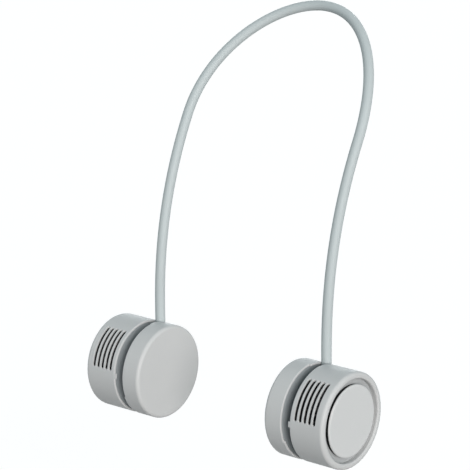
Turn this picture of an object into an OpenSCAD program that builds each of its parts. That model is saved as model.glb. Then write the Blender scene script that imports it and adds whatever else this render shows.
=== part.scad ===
// Electric neck fan: two round pods on the ends of a flexible neck tube.
// Each pod is a battery disc with a hub, and a fan drum that swivels on the hub.
// Lengths are in millimetres. X runs along the common axis of the pods, +Y towards
// the wearer's back and +Z up. The origin is where the tube lies on the neck.
// Angles round a pod start at its top and grow towards the wearer's back.

/* [Pods] */
// Outside diameter of the discs and drums
pod_d = 64; // [61:0.5:76]
// Distance between the plain faces of the two discs
face_span = 107; // [90:1:140]
// Thickness of a battery disc
disc_t = 15.1; // [14:0.1:19]
// Width of the gap between disc and drum
gap_t = 6.1; // [5.6:0.1:7]
// Thickness of a fan drum
drum_t = 25.8; // [24.5:0.1:32]
// Wall of the round rims
shell_wall = 1.5; // [1.2:0.1:2]
// Wall of the plain face of a disc
face_wall = 1.6; // [1.2:0.1:2.4]
// Rounding of a rim where it meets a face
face_round = 2.4; // [1.6:0.1:2.8]
// Rounding of the rims at the gap
edge_round = 0.5; // [0.3:0.1:0.7]

/* [Air outlet] */
// Number of slots in the rim of a drum
slot_count = 5; // [3:1:5]
// Width of a slot
slot_w = 2.2; // [1.6:0.1:2.5]
// Distance from slot to slot
slot_pitch = 3.65; // [3.2:0.05:3.8]
// Distance of the middle slot from the drum's edge at the gap
slot_set_in = 11.4; // [10.5:0.1:12.5]
// Angle of the middle of the slots
slot_mid = -56; // [-70:1:-50]
// Angle between the round ends of a slot
slot_arc = 50; // [36:1:52]

/* [Air inlet] */
// Width of the flat ring round the inlet
ring_w = 4.8; // [4.4:0.1:6]
// Thickness of the flat ring
ring_t = 1.8; // [1.4:0.1:2.4]
// Rounding of the flat ring's inner edge
inlet_round = 1; // [0.4:0.1:1.1]
// Width of the open ring round the face disc
inlet_gap = 2.8; // [2:0.1:4]
// Thickness of the face disc
face_disc_t = 1.4; // [1.4:0.1:2]
// How far the face disc lies below the ring
face_disc_set = 0.3; // [0.2:0.1:0.9]
// Height of the room behind the face disc
plenum_h = 2.8; // [2.7:0.1:3.2]
// Thickness of the plate with the fan's eye
inlet_plate_t = 1.3; // [1.2:0.1:1.3]

/* [Fan] */
// Number of blades
blade_count = 24; // [12:1:30]
// Radial length of a blade
blade_w = 5; // [3.5:0.1:6]
// Thickness of a blade
blade_t = 0.8; // [0.6:0.05:1]
// Forward sweep of a blade at its outer edge, in degrees
blade_sweep = 17; // [5:1:25]
// Thickness of the fan's back disc
fan_disc_t = 1.1; // [0.8:0.1:1.5]
// Air gap between fan and tongue of the scroll
tongue_gap = 1.4; // [1:0.1:1.8]
// Growth of the scroll from tongue to outlet
scroll_growth = 2.6; // [2:0.1:3]
// Wall of the scroll
scroll_wall = 1; // [0.8:0.1:1.4]

/* [Motor] */
// Outside diameter of the rotor cup
rotor_d = 20.6; // [19:0.1:21.5]
// Wall of the rotor cup
rotor_wall = 0.85; // [0.7:0.05:1]
// Diameter of the motor shaft
shaft_d = 2; // [1.5:0.1:2.5]
// Number of stator teeth
tooth_count = 6; // [6:3:9]
// Width of a stator tooth
tooth_w = 1.5; // [1.2:0.1:1.6]
// Thickness of the plate that carries the motor
motor_plate_t = 1; // [0.8:0.1:1.4]

/* [Swivel] */
// Diameter of the fixed hub in the gap
hub_d = 38; // [37:0.5:40]
// Outside diameter of the hollow spindle
spindle_d = 11; // [10:0.1:12]
// Bore of the hollow spindle
spindle_bore = 6.5; // [5:0.1:7]
// How far a drum turns back from its place at rest, in degrees
swivel_back = 80; // [40:1:80]
// How far a drum turns forward from its place at rest, in degrees
swivel_front = 22; // [10:1:22]
// Thickness of the friction washer
washer_t = 0.9; // [0.7:0.05:1]
// Thickness of the drum's back plate
back_t = 1.8; // [1.4:0.1:2.2]

/* [Controls] */
// Diameter of the power button
button_d = 7; // [5:0.1:8]
// Travel of the power button
button_travel = 0.5; // [0.3:0.05:0.6]
// Angle of the power button on the right disc
button_angle = 140; // [125:1:145]
// Angle of the charging port on the right disc
port_angle = 180; // [176:1:186]

/* [Neck tube] */
// Outside diameter of the soft tube
tube_d = 6.8; // [6.2:0.1:7]
// Bore of the soft tube
tube_bore = 4.5; // [4.3:0.1:4.8]
// Diameter of the bendable spine in the tube
spine_d = 4; // [3.6:0.1:4]
// Distance of the tube's feet behind the pods' axis
foot_y = 11.2; // [10.5:0.1:12]
// Height at which the tube starts to lean back
bend_z = 22; // [21:1:30]
// Distance of the shoulders behind the pods' axis
shoulder_y = 41.1; // [35:0.1:50]
// Height of the shoulders above the pods' axis
shoulder_z = 169.7; // [155:0.1:185]
// Lean of the tube at the shoulders, in degrees
shoulder_lean = 27.7; // [22:0.1:32]
// Distance of the top of the loop behind the pods' axis
apex_y = 99; // [90:0.1:108]
// Height of the top of the loop above the pods' axis
apex_z = 242.7; // [230:0.1:255]

/* [Hidden] */
$fn = 96;

// Clearances and the overrun of cuts
cut_over = 1;
fit = 0.05;
run_gap = 0.2;
seat_gap = 0.15;
part_gap = 0.3;
sink = 0.2;

// Colours
shell_grey = [0.72, 0.74, 0.75];
face_grey = [0.79, 0.79, 0.79];
inner_grey = [0.42, 0.44, 0.45];
dark = [0.12, 0.12, 0.13];
steel = [0.66, 0.67, 0.69];
copper = [0.72, 0.42, 0.2];
bronze = [0.68, 0.52, 0.3];
board_green = [0.1, 0.32, 0.18];

// Places along the pods' axis, from the plain face outwards
pod_r = pod_d / 2;
cavity_r = pod_r - shell_wall;
disc_x0 = face_span / 2;
disc_x1 = disc_x0 + disc_t;
drum_x0 = disc_x1 + gap_t;
drum_x1 = drum_x0 + drum_t;

// The tube stands close to the drum, and the disc's cover lies just behind it
tube_r = tube_d / 2;
tube_gap = 0.4;
tube_x = drum_x0 - tube_gap - tube_r;

// Cover of the disc, and the hub on it
cover_t = 1.6;
cover_r = cavity_r - seat_gap;
cover_x1 = tube_x - tube_r - run_gap;
cover_x0 = cover_x1 - cover_t;
hub_r = hub_d / 2;
hub_short = 0.5;
hub_x1 = drum_x0 - hub_short;
peg_r = 1;
peg_at = 14.5;
peg_angles = [30, 150, 270];

// Screws of both housings
screw_r = 0.75;
screw_hole_r = 0.8;
screw_head_r = 1.3;
screw_head_t = 0.9;
screw_l = 7.5;
head_sink = 0.2;
disc_boss_r = 2.1;
disc_boss_at = cavity_r - disc_boss_r - 2 * part_gap;
disc_screw_angles = [32, 112, 206];
drum_boss_r = 2.1;
drum_boss_at = cavity_r - drum_boss_r + sink;
drum_screw_angles = [20, 110, 200];

// Swivel: spindle, washer, back plate and clip
spindle_r = spindle_d / 2;
flange_r = 8;
flange_t = 1.4;
flange_x0 = cover_x0 - flange_t;
washer_r = 9;
washer_x1 = hub_x1 + washer_t;
back_x0 = washer_x1 + run_gap;
back_x1 = back_x0 + back_t;
swivel_boss_r = 9;
swivel_boss_x1 = back_x1 + back_t / 2;
clip_t = 0.8;
clip_w = 2;
clip_depth = 0.8;
clip_open = 70;
clip_x0 = swivel_boss_x1 + run_gap;
clip_x1 = clip_x0 + clip_t;
spindle_x1 = clip_x1 + clip_depth;
stop_angle = 140;
stop_ring_r = 15.5;
stop_pin_r = 1.2;
stop_depth = 1.5;

// Stop nub on the drum's edge, and the cut-back stretch of the disc's edge that shows its travel
nub_angle = -88.5;
nub_arc = 7;
nub_out = 1.3;
notch_depth = 1.1;
notch_more = 1;

// Battery and its ring inside the curved control board, and the lead through the spindle
board_w = 7.3;
board_out_r = cavity_r - seat_gap;
board_in_r = board_out_r - board_w;
battery_ring_t = 1;
battery_r = board_in_r - part_gap - battery_ring_t - seat_gap;
battery_x0 = disc_x0 + face_wall;
battery_x1 = flange_x0 - 2 * part_gap;
battery_round = 1.2;
battery_ring_h = 4;
lead_r = 1.3;

// Motor: plate on posts, stator round the bearing tube, rotor cup over it
post_r = 1.8;
post_pin_r = 0.8;
post_at = 12.4;
post_angles = [60, 180, 300];
motor_plate_r = post_at + post_r + part_gap;
motor_plate_x0 = spindle_x1 + part_gap;
motor_plate_x1 = motor_plate_x0 + motor_plate_t;
shaft_r = shaft_d / 2;
bearing_wall = 1.4;
bearing_r = shaft_r + fit + bearing_wall;
bearing_tube_t = 0.9;
bearing_tube_r = bearing_r + fit + bearing_tube_t;
rotor_r = rotor_d / 2;
magnet_t = 0.45;
magnet_in_r = rotor_r - rotor_wall - fit - magnet_t;
stator_r = magnet_in_r - part_gap;
stator_core_t = 0.9;
shoe_t = 0.7;
shoe_share = 0.68;
coil_t = 0.9;

// Inlet side of the drum, and the fan between the plates
ring_x0 = drum_x1 - ring_t;
inlet_r = pod_r - ring_w;
collar_t = 1.2;
face_disc_r = inlet_r - inlet_gap;
face_disc_x1 = drum_x1 - face_disc_set;
face_disc_x0 = face_disc_x1 - face_disc_t;
face_edge = 1;
face_edge_back = 0.3;
face_post_r = 2;
face_post_at = face_disc_r - face_post_r - face_edge;
face_post_angles = [60, 180, 300];
face_pin_r = 0.9;
inlet_plate_x1 = face_disc_x0 - plenum_h;
inlet_plate_x0 = inlet_plate_x1 - inlet_plate_t;
inlet_plate_r = cavity_r - seat_gap;
fan_gap = 0.4;
slot_end_r = slot_w / 2 - fit / 2;
fan_x0 = motor_plate_x1 + fan_gap;
fan_x1 = inlet_plate_x0 - fan_gap;
scroll_out_r = drum_boss_at - drum_boss_r - run_gap;
fan_r = scroll_out_r - scroll_wall - scroll_growth - tongue_gap;
fan_in_r = fan_r - blade_w;
fan_ring_w = 1.3;
fan_ring_t = 1;
fan_cap_wall = 1.1;
fan_cap_drop = 2;
fan_cap_x1 = fan_x1 - fan_cap_drop;
fan_cap_r = rotor_r + fit + fan_cap_wall;
rotor_x0 = fan_x0 + rotor_wall;
rotor_x1 = fan_cap_x1 - fan_cap_wall - fit;
stator_x0 = rotor_x0 + coil_t + part_gap;
stator_x1 = rotor_x1 - rotor_wall - coil_t - 2 * part_gap;
eye_r = fan_in_r - part_gap;
eye_lip_r = 0.9;
scroll_steps = 48;
scroll_side = 5;
scroll_from = slot_mid + slot_arc / 2 + scroll_side;
scroll_to = 360 + slot_mid - slot_arc / 2 - scroll_side;
blade_steps = 6;

// Feet of the neck tube: a ferrule in the hub's socket
spine_r = spine_d / 2;
ferrule_r = 2.65;
ferrule_l = 8;
collar_r = 3.2;
ferrule_collar_t = 1.2;
spot_gap = 0.35;
seat_drop = 0.4;
seat_z = sqrt(pow(hub_r, 2) - pow(foot_y + collar_r, 2)) - seat_drop;
tube_end_z = seat_z + ferrule_collar_t + run_gap;
wire_r = 1.3;
socket_z = seat_z - ferrule_l - 2 * wire_r - seat_drop;

// Route of the neck tube: one curve from foot to shoulder and one from shoulder to apex
foot_pull = 24;
shoulder_pull_down = 76;
shoulder_pull_up = 50;
apex_pull = 36.3;
foot_steps = 13;
arch_steps = 17;
tube_sides = 12;
spine_sides = 10;

// Controls in the right disc
board_t = 1;
board_x0 = battery_x1 - board_t;
board_past_button_angle = 16;
board_past_port_angle = 18;
board_from = button_angle - board_past_button_angle;
board_to = port_angle + board_past_port_angle;
port_w = 8.9;
port_h = 3.2;
port_l = 6.4;
port_wall = 0.3;
port_tongue_w = 6;
port_tongue_t = 0.7;
port_x = board_x0 - port_h / 2;
port_out_r = pod_r - 2 * seat_gap;
button_r = button_d / 2;
button_proud = 0.4;
button_lip = 0.8;
button_lip_t = 0.8;
button_plunger_r = 1.2;
button_x = disc_x0 + face_round + button_r + 2 * part_gap;
button_lip_r = cavity_r - shell_wall - part_gap;
switch_w = 4;
switch_l = 2.6;
switch_out_r = button_lip_r - button_lip_t - button_travel - 2 * part_gap;

// Turns a solid made along Z onto the pods' axis, with the angle 0 at the top
module pod_axis() {
    rotate([0, 90, 0]) rotate([0, 0, 180]) mirror([0, 1, 0]) children();
}

// Places children on a spoke at an angle round the pod, with +X of the children outwards
module spoke(angle) {
    pod_axis() rotate([0, 0, angle]) children();
}

// Round bar along the pods' axis
module bar(r, x0, x1) {
    pod_axis() translate([0, 0, x0]) cylinder(r = r, h = x1 - x0);
}

// Round bar parallel to the pods' axis, at a radius and an angle
module off_bar(angle, at, r, x0, x1) {
    spoke(angle) translate([at, 0, x0]) cylinder(r = r, h = x1 - x0);
}

// Ring about the pods' axis
module ring(r_in, r_out, x0, x1) {
    difference() {
        bar(r_out, x0, x1);
        bar(r_in, x0 - cut_over, x1 + cut_over);
    }
}

// Part of a ring between two angles
module arc_band(from, to, r_in, r_out, x0, x1) {
    spoke(from) rotate_extrude(angle = to - from) {
        translate([r_in, x0]) square([r_out - r_in, x1 - x0]);
    }
}

// Half outline of a round slab with rounded edges, first and last along the axis
module slab_outline(r, x0, x1, round0, round1) {
    translate([0, x0 + round0]) square([r, x1 - x0 - round0 - round1]);
    translate([0, x0]) square([r - round0, x1 - x0]);
    translate([0, x0 + round0]) square([r - round1, x1 - x0 - round0]);
    translate([r - round0, x0 + round0]) circle(r = round0);
    translate([r - round1, x1 - round1]) circle(r = round1);
}

// Puts a right-hand piece in the row frame
module right_side() {
    translate([0, -apex_y, tube_r - apex_z]) children();
}

// Puts the mirrored piece on the left
module left_side() {
    translate([0, -apex_y, tube_r - apex_z]) mirror([1, 0, 0]) children();
}

// Point of a cubic curve with two handles
function curve_point(a, b, c, d, t) =
    pow(1 - t, 3) * a + 3 * pow(1 - t, 2) * t * b + 3 * (1 - t) * t * t * c + pow(t, 3) * d;

lean_dir = [0, sin(shoulder_lean), cos(shoulder_lean)];
bend_point = [tube_x, foot_y, bend_z];
shoulder_point = [tube_x, shoulder_y, shoulder_z];
apex_point = [0, apex_y, apex_z];

// Centre line from a height at the right foot to the top of the loop
function half_route(end_z) = concat(
    [[tube_x, foot_y, end_z]],
    [for (i = [0 : foot_steps])
        curve_point(bend_point, bend_point + [0, 0, foot_pull],
            shoulder_point - shoulder_pull_down * lean_dir, shoulder_point, i / foot_steps)],
    [for (i = [1 : arch_steps])
        curve_point(shoulder_point, shoulder_point + shoulder_pull_up * lean_dir,
            apex_point + [apex_pull, 0, 0], apex_point, i / arch_steps)]);

// The whole centre line, from the right foot over the top to the left foot
function full_route(end_z) = let (half = half_route(end_z), n = len(half)) concat(
    half, [for (i = [1 : n - 1]) let (p = half[n - 1 - i]) [-p.x, p.y, p.z]]);

function unit(v) = v / norm(v);

// Ring of points square to the route, turned alike all the way
function route_ring(route, i, r, sides) = let (
    last = len(route) - 1,
    ahead = unit(route[min(i + 1, last)] - route[max(i - 1, 0)]),
    across = unit(cross(ahead, [0, cos(shoulder_lean), -sin(shoulder_lean)])),
    up = cross(across, ahead))
    [for (k = [0 : sides - 1])
        route[i] + r * (cos(360 * k / sides) * across + sin(360 * k / sides) * up)];

// Tube along a route, with a bore where its inner radius is above 0
module sweep(route, r_out, r_in, sides) {
    n = len(route);
    outer = [for (i = [0 : n - 1]) each route_ring(route, i, r_out, sides)];
    inner = [for (i = [0 : n - 1]) each route_ring(route, i, r_in, sides)];
    m = n * sides;
    side_faces = [for (i = [0 : n - 2]) for (k = [0 : sides - 1])
        let (a = i * sides + k, b = i * sides + (k + 1) % sides) each
        [[a, a + sides, b + sides], [a, b + sides, b]]];
    bore_faces = [for (f = side_faces) [f[2] + m, f[1] + m, f[0] + m]];
    rim_faces = [for (k = [0 : sides - 1])
        let (a = k, b = (k + 1) % sides, e = m - sides) each
        [[a, b, b + m], [a, b + m, a + m], [b + e, a + e, b + e + m], [a + e, a + e + m, b + e + m]]];
    end_faces = [[for (k = [0 : sides - 1]) k], [for (k = [0 : sides - 1]) m - 1 - k]];
    if (r_in > 0) {
        polyhedron(concat(outer, inner), concat(side_faces, bore_faces, rim_faces));
    } else {
        polyhedron(outer, concat(side_faces, end_faces));
    }
}

// Soft tube over the whole length of the neck piece
module neck_tube() {
    color(shell_grey) sweep(full_route(tube_end_z), tube_r, tube_bore / 2, tube_sides);
}

// Bendable spine that holds the shape of the loop and carries the wires
module neck_spine() {
    color(steel) sweep(full_route(seat_z - ferrule_l + seat_drop), spine_r, 0, spine_sides);
}

// Crimped ferrule on an end of the spine, with a collar that the soft tube meets
module ferrule() {
    color(steel) translate([tube_x, foot_y, 0]) difference() {
        union() {
            translate([0, 0, seat_z - ferrule_l]) cylinder(r = ferrule_r, h = ferrule_l + sink);
            translate([0, 0, seat_z]) cylinder(r = collar_r, h = ferrule_collar_t);
        }
        translate([0, 0, seat_z - ferrule_l - cut_over])
            cylinder(r = spine_r + fit, h = ferrule_l + ferrule_collar_t + 2 * cut_over);
    }
}

// Fixed hub in the gap: socket for the tube, bore for the spindle, groove for the stop pin
module hub() {
    stop_half_w = stop_pin_r + run_gap;
    color(dark) difference() {
        union() {
            bar(hub_r, cover_x1, hub_x1);
            for (angle = peg_angles) off_bar(angle, peg_at, peg_r, cover_x0, cover_x1 + cut_over);
        }
        bar(spindle_r + fit, cover_x1 - cut_over, hub_x1 + cut_over);
        translate([tube_x, foot_y, socket_z]) cylinder(r = ferrule_r + fit, h = hub_r);
        translate([tube_x, foot_y, seat_z]) cylinder(r = tube_r + spot_gap, h = hub_r);
        wire_way(cover_x1 - cut_over);
        arc_band(stop_angle - swivel_front, stop_angle + swivel_back, stop_ring_r - stop_half_w,
            stop_ring_r + stop_half_w, hub_x1 - stop_depth, hub_x1 + cut_over);
        for (angle = [stop_angle - swivel_front, stop_angle + swivel_back])
            spoke(angle) translate([stop_ring_r, 0, hub_x1 - stop_depth]) rotate([0, 0, 90])
            cylinder(r = stop_half_w - fit / 2, h = stop_depth + cut_over);
    }
}

// Way for the wires from the socket into the disc
module wire_way(x0) {
    translate([x0, foot_y, socket_z + wire_r]) rotate([0, 90, 0]) cylinder(r = wire_r, h = tube_x - x0);
}

// Hollow spindle, flanged inside the disc and grooved for the clip inside the drum
module spindle() {
    color(steel) difference() {
        union() {
            bar(flange_r, flange_x0, cover_x0);
            bar(spindle_r, flange_x0, spindle_x1);
        }
        bar(spindle_bore / 2, flange_x0 - cut_over, spindle_x1 + cut_over);
        ring(spindle_r - clip_depth, spindle_r + cut_over, clip_x0, clip_x1);
    }
}

// Open retaining ring in the spindle's groove
module spindle_clip() {
    clip_in_r = spindle_r - clip_depth + fit;
    color(steel) arc_band(clip_open / 2, 360 - clip_open / 2, clip_in_r, clip_in_r + clip_w,
        clip_x0 + fit, clip_x1 - fit);
}

// Friction washer between hub and drum
module friction_washer() {
    color(dark) ring(spindle_r + fit, washer_r, hub_x1, washer_x1);
}

// Cup of the battery disc, with the edge cut back over the travel of the drum's nub
module disc_shell() {
    color(shell_grey) difference() {
        union() {
            difference() {
                pod_axis() rotate_extrude() slab_outline(pod_r, disc_x0, disc_x1, face_round, edge_round);
                bar(cavity_r, battery_x0, disc_x1 + cut_over);
            }
            ring(cavity_r - shell_wall / 2, cavity_r + sink, cover_x0 - shell_wall, cover_x0);
            ring(battery_r + seat_gap, battery_r + seat_gap + battery_ring_t,
                battery_x0 - sink, battery_x0 + battery_ring_h);
            for (angle = disc_screw_angles)
                off_bar(angle, disc_boss_at, disc_boss_r, battery_x0 - sink, cover_x0);
        }
        for (angle = disc_screw_angles)
            off_bar(angle, disc_boss_at, screw_hole_r, cover_x0 - screw_l, disc_x1);
        arc_band(nub_angle - swivel_front - nub_arc / 2 - notch_more, nub_angle + swivel_back + nub_arc / 2
            + notch_more, cavity_r - shell_wall, pod_r + cut_over, disc_x1 - notch_depth, disc_x1 + cut_over);
        translate([tube_x, foot_y, 0]) cylinder(r = tube_r + seat_gap, h = pod_d);
    }
}

// Flat-sided round-ended bar on a spoke, for the charging port
module port_form(w, h, r0, r1) {
    spoke(port_angle) translate([r0, 0, port_x]) rotate([0, 90, 0]) {
        translate([-h / 2, -(w - h) / 2, 0]) cube([h, w - h, r1 - r0]);
        for (side = [-1, 1]) translate([0, side * (w - h) / 2, 0]) cylinder(r = h / 2, h = r1 - r0);
    }
}

// The right shell also has the openings of the button and the port
module right_disc_shell_solid() {
    difference() {
        disc_shell();
        port_form(port_w + 2 * seat_gap, port_h + 2 * seat_gap, board_in_r, pod_r + cut_over);
        spoke(button_angle) translate([button_lip_r, 0, button_x]) rotate([0, 90, 0])
            cylinder(r = button_r + seat_gap, h = pod_r);
    }
}

// Plate that closes the disc and carries hub and spindle
module disc_cover() {
    color(inner_grey) difference() {
        bar(cover_r, cover_x0, cover_x1);
        bar(spindle_r + fit, cover_x0 - cut_over, cover_x1 + cut_over);
        wire_way(cover_x0 - cut_over);
        for (angle = peg_angles)
            off_bar(angle, peg_at, peg_r + fit, cover_x0 - cut_over, cover_x1 + cut_over);
        for (angle = disc_screw_angles) {
            off_bar(angle, disc_boss_at, screw_hole_r, cover_x0 - cut_over, cover_x1 + cut_over);
            off_bar(angle, disc_boss_at, screw_head_r + seat_gap,
                cover_x1 - screw_head_t - head_sink, cover_x1 + cut_over);
        }
    }
}

// Pan-head screw along the pods' axis, with a cross recess; way is 1 or -1 for the side of the head
module housing_screw(angle, at, head_x, way) {
    recess_w = screw_head_r / 3;
    recess_l = screw_head_r * 1.3;
    spoke(angle) translate([at, 0, head_x]) mirror([0, 0, (1 - way) / 2]) difference() {
        union() {
            translate([0, 0, -screw_head_t]) cylinder(r = screw_head_r, h = screw_head_t);
            translate([0, 0, -screw_l + screw_head_t]) cylinder(r = screw_r, h = screw_l - screw_head_t);
        }
        for (turn = [0, 90]) rotate([0, 0, turn])
            translate([-recess_l / 2, -recess_w / 2, -screw_head_t / 2]) cube([recess_l, recess_w, screw_head_t]);
    }
}

// Screws of the disc's cover
module disc_screws() {
    color(steel) for (angle = disc_screw_angles)
        housing_screw(angle, disc_boss_at, cover_x1 - head_sink, 1);
}

// Round lithium cell
module battery() {
    color(steel) pod_axis() rotate_extrude()
        slab_outline(battery_r, battery_x0, battery_x1, battery_round, battery_round);
}

// Lead from the disc through the spindle to the motor
module motor_lead() {
    color(dark) bar(lead_r, battery_x1, motor_plate_x0 - part_gap);
}

// Slots of the air outlet
module slots() {
    for (i = [0 : slot_count - 1]) {
        x = drum_x0 + slot_set_in + (i - (slot_count - 1) / 2) * slot_pitch;
        arc_band(slot_mid - slot_arc / 2, slot_mid + slot_arc / 2, cavity_r - cut_over, pod_r + cut_over,
            x - slot_w / 2, x + slot_w / 2);
        for (end = [-1, 1]) spoke(slot_mid + end * slot_arc / 2)
            translate([cavity_r - cut_over, 0, x]) rotate([0, 90, 0]) rotate([0, 0, 90])
            cylinder(r = slot_end_r, h = shell_wall + 2 * cut_over);
    }
}

// Outline of the drum's rim, flat ring and inlet collar
module drum_outline() {
    difference() {
        slab_outline(pod_r, drum_x0, drum_x1, edge_round, face_round);
        translate([0, drum_x0 - cut_over]) square([cavity_r, ring_x0 - drum_x0 + cut_over]);
        translate([0, ring_x0 - cut_over]) square([inlet_r + inlet_round, ring_t + 2 * cut_over]);
    }
    translate([inlet_r, inlet_plate_x1]) square([collar_t, drum_x1 - inlet_round - inlet_plate_x1]);
    translate([inlet_r + inlet_round, drum_x1 - inlet_round]) circle(r = inlet_round);
}

// Rim of the drum with slots, flat ring, screw bosses and the stop nub
module drum_shell() {
    color(shell_grey) difference() {
        union() {
            pod_axis() rotate_extrude() drum_outline();
            for (angle = drum_screw_angles)
                off_bar(angle, drum_boss_at, drum_boss_r, back_x1, inlet_plate_x0);
            arc_band(nub_angle - nub_arc / 2, nub_angle + nub_arc / 2, cavity_r + sink, pod_r - seat_gap,
                drum_x0 - nub_out, drum_x0 + 2 * edge_round);
        }
        slots();
        for (angle = drum_screw_angles)
            off_bar(angle, drum_boss_at, screw_hole_r, back_x1 - cut_over, back_x1 + screw_l);
    }
}

// Back plate of the drum, which turns on the spindle and carries the motor
module drum_back() {
    color(inner_grey) difference() {
        union() {
            bar(cavity_r - seat_gap, back_x0, back_x1);
            bar(swivel_boss_r, back_x1 - sink, swivel_boss_x1);
            off_bar(stop_angle, stop_ring_r, stop_pin_r, hub_x1 - stop_depth + part_gap, back_x0 + sink);
            for (angle = post_angles) {
                off_bar(angle, post_at, post_r, back_x1 - sink, motor_plate_x0);
                off_bar(angle, post_at, post_pin_r, back_x1, motor_plate_x1);
            }
        }
        bar(spindle_r + 2 * fit, back_x0 - cut_over, swivel_boss_x1 + cut_over);
        for (angle = drum_screw_angles) {
            off_bar(angle, drum_boss_at, screw_hole_r, back_x0 - cut_over, back_x1 + cut_over);
            off_bar(angle, drum_boss_at, screw_head_r + seat_gap, back_x0 - cut_over,
                back_x0 + screw_head_t + head_sink);
        }
    }
}

// Screws of the drum's back plate
module drum_screws() {
    color(steel) for (angle = drum_screw_angles)
        housing_screw(angle, drum_boss_at, back_x0 + head_sink, -1);
}

// Inner radius of the scroll, growing with the angle from the tongue
function scroll_radius(angle) =
    fan_r + tongue_gap + scroll_growth * (angle - scroll_from) / (scroll_to - scroll_from);

function polar(r, angle) = [r * cos(angle), r * sin(angle)];

// Scroll wall round the fan, with a guide to the rim at each end of the slots
module scroll() {
    guide_r = cavity_r - seat_gap;
    turn_in = asin(scroll_wall / (fan_r + tongue_gap));
    turn_out = asin(scroll_wall / guide_r);
    inner = [for (i = [0 : scroll_steps]) scroll_from + (scroll_to - scroll_from) * i / scroll_steps];
    outer = [for (i = [0 : scroll_steps])
        scroll_to - turn_in + (scroll_from - scroll_to + 2 * turn_in) * i / scroll_steps];
    color(inner_grey) pod_axis() translate([0, 0, back_x1])
        linear_extrude(height = inlet_plate_x0 - back_x1) polygon(concat(
            [polar(guide_r, scroll_from)],
            [for (a = inner) polar(scroll_radius(a), a)],
            [polar(guide_r, scroll_to), polar(guide_r, scroll_to - turn_out)],
            [for (a = outer) polar(scroll_radius(a) + scroll_wall, a)],
            [polar(guide_r, scroll_from + turn_out)]));
}

// Plate with the fan's eye, behind the face disc
module inlet_plate() {
    color(shell_grey) difference() {
        pod_axis() rotate_extrude() {
            translate([eye_r + eye_lip_r, inlet_plate_x0])
                square([inlet_plate_r - eye_r - eye_lip_r, inlet_plate_t]);
            translate([eye_r + eye_lip_r, inlet_plate_x1 - part_gap]) circle(r = eye_lip_r);
        }
        for (angle = face_post_angles)
            off_bar(angle, face_post_at, face_pin_r + fit, inlet_plate_x0 - cut_over,
                inlet_plate_x1 + cut_over);
    }
}

// Plain disc that floats in the inlet on three posts
module face_disc() {
    color(face_grey) union() {
        pod_axis() rotate_extrude()
            slab_outline(face_disc_r, face_disc_x0, face_disc_x1, face_edge_back, face_edge);
        for (angle = face_post_angles) {
            off_bar(angle, face_post_at, face_post_r, inlet_plate_x1, face_disc_x0 + sink);
            off_bar(angle, face_post_at, face_pin_r, inlet_plate_x0 + sink, face_disc_x0);
        }
    }
}

// Plate on the posts of the back plate, with the tube that holds the bearing
module motor_plate() {
    color(board_green) difference() {
        union() {
            bar(motor_plate_r, motor_plate_x0, motor_plate_x1);
            bar(bearing_tube_r, motor_plate_x0, stator_x1 + coil_t);
        }
        bar(bearing_r + fit, motor_plate_x0 - cut_over, stator_x1 + 2 * cut_over);
        for (angle = post_angles)
            off_bar(angle, post_at, post_pin_r + fit, motor_plate_x0 - cut_over, motor_plate_x1 + cut_over);
    }
}

// Bronze sleeve in which the shaft turns
module bearing() {
    color(bronze) ring(shaft_r + fit, bearing_r, motor_plate_x0, stator_x1 + coil_t);
}

// Stack of plates with teeth and pole shoes
module stator() {
    core_r = bearing_tube_r + fit + stator_core_t;
    shoe_arc = shoe_share * 360 / tooth_count;
    color(steel) difference() {
        union() {
            bar(core_r, stator_x0, stator_x1);
            for (i = [0 : tooth_count - 1]) {
                spoke(i * 360 / tooth_count) translate([core_r - sink, -tooth_w / 2, stator_x0])
                    cube([stator_r - shoe_t - core_r + 2 * sink, tooth_w, stator_x1 - stator_x0]);
                arc_band(i * 360 / tooth_count - shoe_arc / 2, i * 360 / tooth_count + shoe_arc / 2,
                    stator_r - shoe_t, stator_r, stator_x0, stator_x1);
            }
        }
        bar(bearing_tube_r + fit, stator_x0 - cut_over, stator_x1 + cut_over);
    }
}

// Coils round the teeth
module coils() {
    coil_in_r = bearing_tube_r + stator_core_t + seat_gap;
    coil_w = tooth_w + 2 * coil_t;
    coil_l = sqrt(pow(stator_r - shoe_t, 2) - pow(coil_w / 2, 2)) - coil_in_r - fit;
    color(copper) for (i = [0 : tooth_count - 1]) spoke(i * 360 / tooth_count) difference() {
        translate([coil_in_r, -coil_w / 2, stator_x0 - coil_t])
            cube([coil_l, coil_w, stator_x1 - stator_x0 + 2 * coil_t]);
        translate([coil_in_r - cut_over, -tooth_w / 2 - fit, stator_x0 - fit])
            cube([coil_l + 2 * cut_over, tooth_w + 2 * fit, stator_x1 - stator_x0 + 2 * fit]);
    }
}

// Steel cup that turns round the stator
module rotor_cup() {
    color(steel) difference() {
        bar(rotor_r, rotor_x0, rotor_x1);
        bar(rotor_r - rotor_wall, rotor_x0 - cut_over, rotor_x1 - rotor_wall);
        bar(shaft_r + fit, rotor_x0, rotor_x1 + cut_over);
    }
}

// Magnet ring inside the rotor cup
module magnet_ring() {
    color(dark) ring(magnet_in_r, magnet_in_r + magnet_t, stator_x0 - coil_t / 2, stator_x1 + coil_t / 2);
}

// Motor shaft
module motor_shaft() {
    color(steel) bar(shaft_r, motor_plate_x0 + sink, rotor_x1);
}

// Outline of one forward-curved blade
function blade_side(way) = [for (i = [0 : blade_steps])
    let (u = i / blade_steps, r = fan_in_r + u * (blade_w - seat_gap),
        a = blade_sweep * u * u + way * asin(blade_t / 2 / r)) polar(r, a)];
function reversed(points) = [for (i = [len(points) - 1 : -1 : 0]) points[i]];

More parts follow.
